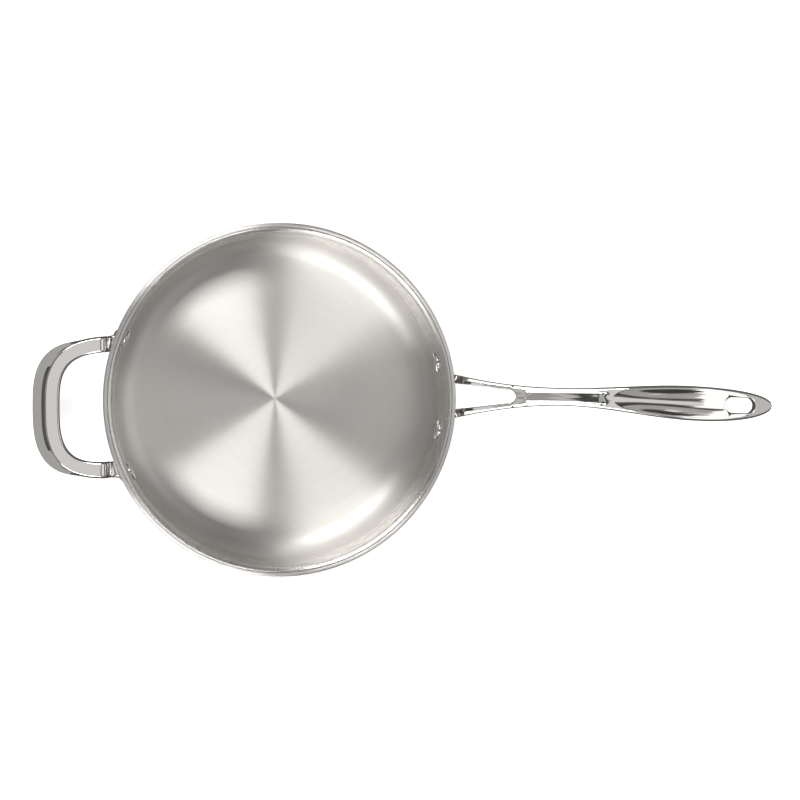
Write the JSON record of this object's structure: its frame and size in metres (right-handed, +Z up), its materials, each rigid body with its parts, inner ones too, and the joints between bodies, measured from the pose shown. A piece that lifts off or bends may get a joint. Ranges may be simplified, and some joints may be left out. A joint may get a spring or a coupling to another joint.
{
  "type": "saute pan",
  "caption": "Straight-sided clad saute pan with a riveted wishbone long handle, a hanging slot in its tip, and a riveted helper loop opposite.",
  "frame": {"origin": "centre of the flat underside of the base", "axes": "+Z up along the pan's axis, +X along the long handle, helper loop at -X"},
  "size_m": [0.5733, 0.2752, 0.1117],
  "materials": {
    "brushed_interior": "satin stainless steel, brushed in rings",
    "aluminium": "plain",
    "brushed_exterior": "satin stainless steel, brushed in rings",
    "polished_casting": "polished cast stainless steel",
    "polished_loop": "polished cast stainless steel",
    "polished_rivet": "polished stainless steel"
  },
  "bodies": {
    "root": {"inner_liner": "brushed_interior", "aluminium_core": "aluminium", "outer_shell": "brushed_exterior", "long_handle": "polished_casting", "helper_handle": "polished_loop", "handle_rivet_left": "polished_rivet", "handle_rivet_right": "polished_rivet", "helper_rivet_left": "polished_rivet", "helper_rivet_right": "polished_rivet"}
  },
  "joints": []
}
